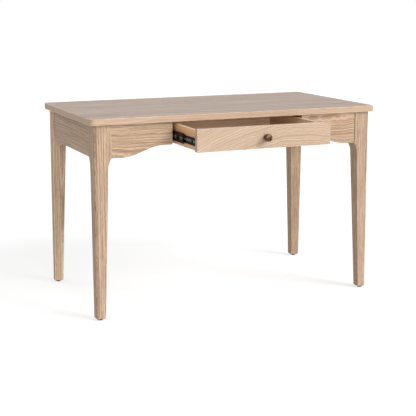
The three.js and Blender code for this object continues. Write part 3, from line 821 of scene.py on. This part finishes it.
def knob():
    low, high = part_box("knob")
    reach = high.y - low.y
    radius = (high.x - low.x) / 2
    foot, neck = KNOB_FOOT * radius, KNOB_NECK * radius
    head = KNOB_HEAD * reach
    # Each curve from the foot outwards: what pulls it, where it ends and its steps
    curves = [
        ((3 * MM, foot), (3.2 * MM, foot - 1.5 * MM), 3),
        ((4 * MM, neck), (head - 3 * MM, neck), 8),
        ((head + 1 * MM, neck), (head + 1.5 * MM, radius - 2.5 * MM), 8),
        ((head + 2 * MM, radius), (head + 5 * MM, radius), 6),
        ((reach - 3.4 * MM, radius), (reach - 2.2 * MM, radius - 3 * MM), 6),
        ((reach - 0.4 * MM, 0.5 * radius), (reach, 0), 8),
    ]
    points = [Vector((0, 0)), Vector((0, foot)), Vector((KNOB_FOOT_EDGE, foot))]
    for pull, end, steps in curves:
        points += bowed(points[-1], Vector(pull), Vector(end), steps)
    shape = layered()
    centre = middle("knob")
    spun(shape, points, Vector((centre.x, high.y, centre.z)), FORWARDS, KNOB_STEPS)
    piece(shape, "knob")


# ---- Slides, screws, bolts and glides ----

STEEL = 1.2 * MM
STEEL_BEND = 0.5 * MM
LONG_EDGE = 0.3  # an edge longer than this runs along a member
EYELET_PITCH = 15 * MM
EYELET_START = 14 * MM  # behind a member's front end
# What each member with eyelets has of its own: how proud they stand, and the stretches that are
# kept clear of them, in millimetres from its front end
EYELETS = {
    "middle": (0.14 * MM, [(29, 61), (379, 411)]),
    "drawer": (0.8 * MM, [(37, 53), (262, 340), (387, 403)]),
}
EYELET_RADIUS = 5.4 * MM
EYELET_HOLE = 2.6 * MM
EYELET_SUNK = 0.24 * MM  # how far a rim's foot is let into the web
EYELET_LIP = 0.3 * MM
EYELET_SHOULDER = 0.5 * MM
EYELET_STEPS = 24


def eyelets(shape, member, node, towards):
    """Punched eyelets with bright rims, in a row along a member's web."""
    low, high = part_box(node)
    proud, clear = EYELETS[member]
    outer = low.x if towards.x < 0 else high.x
    inner = high.x - STEEL if towards.x < 0 else low.x + STEEL
    face = outer if member == "middle" else inner
    member_mark = shape.faces.layers.int.new("member")
    for steel_face in shape.faces:
        steel_face[member_mark] = 1
    profile = [
        (-EYELET_SUNK, EYELET_HOLE),
        (0.6 * proud, EYELET_HOLE),
        (proud, EYELET_HOLE + EYELET_LIP),
        (proud, EYELET_RADIUS - EYELET_SHOULDER),
        (0.5 * proud, EYELET_RADIUS),
        (-EYELET_SUNK, EYELET_RADIUS),
    ]
    behind = EYELET_START
    while behind < high.y - low.y - EYELET_START:
        if not any(start * MM < behind < end * MM for start, end in clear):
            origin = Vector((face, low.y + behind, middle(node).z))
            spun(shape, profile, origin, towards, EYELET_STEPS, is_ring=True)
        behind += EYELET_PITCH
    for rim in shape.faces:
        rim.material_index = 0 if rim[member_mark] else 1
    shape.faces.layers.int.remove(member_mark)
    closed_up(shape)


def slides():
    def runs_along(first, second):
        return abs(first.y - second.y) > LONG_EDGE

    for side, towards in OUTWARDS.items():
        for member in ("cabinet", "middle", "drawer"):
            node = f"slide_{member}_member_{side}"
            shape = copy_of(node)
            round_over(shape, STEEL_BEND, runs_along, FEW_STEPS)
            if member in EYELETS:
                eyelets(shape, member, node, towards)
            piece(shape, node, FINISH["black_steel"], FINISH["rubbed_steel"])


EASED_EDGE = 0.25 * MM
HEAD = 1.9 * MM
HEAD_CLEAR = 0.12 * MM  # between a head and what passes over it
HEAD_RINGS = (0, 0.14, 0.34, 0.62)  # shares of a head's radius, for the cross to be cut along
HEAD_DOME = ((0.25, 0.82), (0.6, 0.96))  # shares of a head's height and radius
SCREW_STEPS = 32
SHANK = 0.5  # radius, as a share of the head's
SCREW_TIP = 1.5  # length, in radii of the shank
THREAD = 1.3 * MM  # pitch
THREAD_STOP = 2  # from a screw's end, in radii of the shank
SCREW_THREAD = 0.2  # depth, as a share of the radius
BOLT_THREAD = 0.12  # the same
BOLT_CHAMFER = 0.6  # radius of a bolt's ends, and where its thread starts, as shares of its radius
BOLT_EDGE = (0.4, 0.96)  # shares of a bolt's radius: how far from its end, and how wide
RECESS_DEPTH = 1.1 * MM
RECESS_RADIUS = 0.6  # as a share of the head's
RECESS_MIDDLE = 0.35  # as a share of the recess's own
RECESS_FACES = 0.4 * MM  # how deep below a head's top a face of the cross can lie
RECESS_ARM = 15  # half an arm's width in degrees


def threads(start, end, crest, depth):
    """A profile that rises and falls once for each turn of a thread."""
    count = round((end - start) / THREAD)
    points = []
    for turn in range(count):
        place = start + (end - start) * turn / count
        points += [(place, crest - depth), (place + 0.5 * THREAD, crest)]
    return points


def cross_recess(shape, origin, axis, radius):
    """Sinks a cross into a screw's head, round its axis."""
    side = axis.orthogonal().normalized()
    arms = []
    for face in shape.faces:
        place = face.calc_center_median() - origin
        across = place - axis * place.dot(axis)
        if place.dot(axis) > RECESS_FACES or across.length > radius:
            continue
        turn = math.degrees(math.atan2(across.cross(side).dot(axis), across.dot(side))) % 90
        if across.length < RECESS_MIDDLE * radius or min(turn, 90 - turn) < RECESS_ARM:
            arms.append(face)
    sunk = bmesh.ops.extrude_face_region(shape, geom=arms)
    verts = [item for item in sunk["geom"] if isinstance(item, bmesh.types.BMVert)]
    bmesh.ops.translate(shape, vec=axis * RECESS_DEPTH, verts=verts)
    bmesh.ops.delete(shape, geom=arms, context="FACES")


def screw(node, axis):
    """A pan-head screw whose shank runs along an axis from its head."""
    low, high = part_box(node)
    centre = middle(node)
    along = max(range(3), key=lambda direction: abs(axis[direction]))
    width = (along + 1) % 3
    head = (high[width] - low[width]) / 2
    shank = SHANK * head
    length = high[along] - low[along]
    origin = centre - axis * (length / 2)
    profile = [(HEAD_CLEAR, share * head) for share in HEAD_RINGS]
    profile += [(height * HEAD, share * head) for height, share in HEAD_DOME]
    profile += [(HEAD, head), (HEAD, shank)]
    profile += threads(HEAD + THREAD, length - THREAD_STOP * shank, shank, SCREW_THREAD * shank)
    profile += [(length - SCREW_TIP * shank, shank), (length, 0)]
    shape = layered()
    spun(shape, profile, origin, axis, SCREW_STEPS)
    cross_recess(shape, origin, axis, RECESS_RADIUS * head)
    piece(shape, node)


def hanger_bolt(corner):
    """A bolt threaded along its length, from a leg to the inside of its corner block."""
    node = "hanger_bolt_" + corner
    low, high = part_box(node)
    centre = middle(node)
    radius = (high.z - low.z) / 2
    towards = [math.copysign(1, DESK_MIDDLE[axis] - centre[axis]) for axis in (X, Y)]
    inwards = Vector((*towards, 0)).normalized()
    length = (high.x - low.x - 2 * radius * abs(inwards.x)) / abs(inwards.x)
    end = BOLT_CHAMFER * radius
    edge, edge_radius = (share * radius for share in BOLT_EDGE)
    profile = [(0, 0), (0, end), (edge, edge_radius)]
    profile += threads(end, length - end, radius, BOLT_THREAD * radius)
    profile += [(length - edge, edge_radius), (length, end), (length, 0)]
    shape = layered()
    spun(shape, profile, centre - inwards * (length / 2), inwards, SCREW_STEPS)
    piece(shape, node)


def screws():
    for side, outwards in OUTWARDS.items():
        for end in ("front", "back"):
            screw(f"cabinet_screw_{end}_{side}", outwards)
            screw(f"drawer_screw_{end}_{side}", -outwards)
    for corner in CORNERS:
        screw("top_screw_" + corner, UP)
        hanger_bolt(corner)
    screw("knob_screw", FORWARDS)


GLIDE_STEM = 3 * MM
GLIDE_STEM_TIP = 1 * MM
GLIDE_GAP = 0.3 * MM  # between a glide's disc and its leg
# The disc's lower edge: how high each point is, and how far in from the disc's radius
GLIDE_EDGE = ((0, 2.4), (0.5, 1.1), (1.5, 0.2), (2.6, 0))


def glides():
    for corner in CORNERS:
        node = "glide_" + corner
        low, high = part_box(node)
        centre = middle(node)
        radius = (high.x - low.x) / 2
        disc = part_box("leg_" + corner)[0].z - GLIDE_GAP
        profile = [(0, 0)]
        profile += [(height * MM, radius - inset * MM) for height, inset in GLIDE_EDGE]
        profile += [(disc, radius), (disc, GLIDE_STEM), (high.z - GLIDE_STEM_TIP, GLIDE_STEM)]
        profile += [(high.z, GLIDE_STEM - GLIDE_STEM_TIP), (high.z, 0)]
        shape = layered()
        spun(shape, profile, Vector((centre.x, centre.y, low.z)), UP)
        piece(shape, node)


def softened():
    """The nuts and release levers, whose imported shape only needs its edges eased."""
    nodes = ["hanger_nut_" + corner for corner in CORNERS]
    nodes += ["release_lever_" + side for side in OUTWARDS]
    for node in nodes:
        shape = copy_of(node)
        round_over(shape, EASED_EDGE, lambda first, second: True, FEW_STEPS)
        piece(shape, node)


def ball_cages():
    """The nodes still shown as packed, whose shape is right as it is, are given their finish."""
    for node, shown in frame["nodes"].items():
        if not shown.hide_render:
            shown.data.materials.clear()
            shown.data.materials.append(FINISH[SLOT_OF[node]])


# ---- Studio ----

FLOOR_SIZE = 60.0
FLOOR_GREY = 0.36
FLOOR_GLOW = 0.76
FLOOR_BOUNCE = 0.42  # of the glow, on what stands on the floor
FLOOR_PAINTED_SHADOW = 0.2  # painted shadow: how far the glow is darkened where something stands over the floor
# How far, in metres, the painted shadow reaches from what stands over the floor
PAINTED_SHADOW_REACH = 0.85
SKY_FILL = 0.3  # of the white that the camera sees, on what stands on the floor
WHITE = (1, 1, 1, 1)
# Each light's name: the direction towards it, its strength and its softness in degrees
LIGHTS = {
    "key": ((0.56, -0.7, 0.6), 2.5, 26),
    "front_fill": ((-0.08, -0.95, 0.16), 1.2, 16),
    "back_fill": ((-0.55, 0.7, 0.5), 0.62, 50),
}


def light(name, towards, strength, softness):
    data = bpy.data.lights.new(name, "SUN")
    data.energy = strength
    data.angle = math.radians(softness)
    sun = bpy.data.objects.new(name, data)
    sun.rotation_mode = "QUATERNION"
    sun.rotation_quaternion = Vector(towards).to_track_quat("Z", "Y")
    bpy.context.scene.collection.objects.link(sun)


def studio():
    shape = bmesh.new()
    bmesh.ops.create_grid(shape, x_segments=1, y_segments=1, size=FLOOR_SIZE / 2)
    mesh = bpy.data.meshes.new("floor")
    shape.to_mesh(mesh)
    shape.free()
    floor = bpy.data.objects.new("floor", mesh)
    bpy.context.scene.collection.objects.link(floor)
    material, tree, shader = new_material("pale_floor")
    shader.inputs["Base Color"].default_value = (FLOOR_GREY, FLOOR_GREY, FLOOR_GREY, 1)
    shader.inputs["Roughness"].default_value = 1.0
    shader.inputs["Specular IOR Level"].default_value = 0.0
    shader.inputs["Emission Color"].default_value = WHITE
    path = add(tree, "ShaderNodeLightPath")
    glow = ranged(tree, path.outputs["Is Camera Ray"], 0.0, 1.0, FLOOR_BOUNCE, FLOOR_GLOW)
    # Painted shadow: the floor's glow is darkened by ambient occlusion, a pool of shade under the
    # desk and at its feet
    open_sky = add(tree, "ShaderNodeAmbientOcclusion", {"Distance": PAINTED_SHADOW_REACH}).outputs["AO"]
    painted_shadow = ranged(tree, open_sky, 0.0, 1.0, 1 - FLOOR_PAINTED_SHADOW, 1.0, smooth=False)
    glow = maths(tree, "MULTIPLY", glow, painted_shadow)
    tree.links.new(glow, shader.inputs["Emission Strength"])
    mesh.materials.append(material)

    for name, (towards, strength, softness) in LIGHTS.items():
        light(name, towards, strength, softness)

    world = bpy.data.worlds.new("studio")
    world.use_nodes = True
    tree = world.node_tree
    tree.nodes.clear()
    path = add(tree, "ShaderNodeLightPath")
    fill = add(tree, "ShaderNodeBackground", {"Color": WHITE, "Strength": SKY_FILL})
    white = add(tree, "ShaderNodeBackground", {"Color": WHITE, "Strength": 1.0})
    mix = add(tree, "ShaderNodeMixShader")
    tree.links.new(path.outputs["Is Diffuse Ray"], mix.inputs[0])
    tree.links.new(white.outputs[0], mix.inputs[1])
    tree.links.new(fill.outputs[0], mix.inputs[2])
    output = add(tree, "ShaderNodeOutputWorld")
    tree.links.new(mix.outputs[0], output.inputs["Surface"])
    bpy.context.scene.world = world
    bpy.context.scene.view_settings.view_transform = "Standard"


# ---- Making the desk ----

camera()
studio()
desktop()
legs()
boards()
drawer()
knob()
slides()
screws()
glides()
softened()
ball_cages()
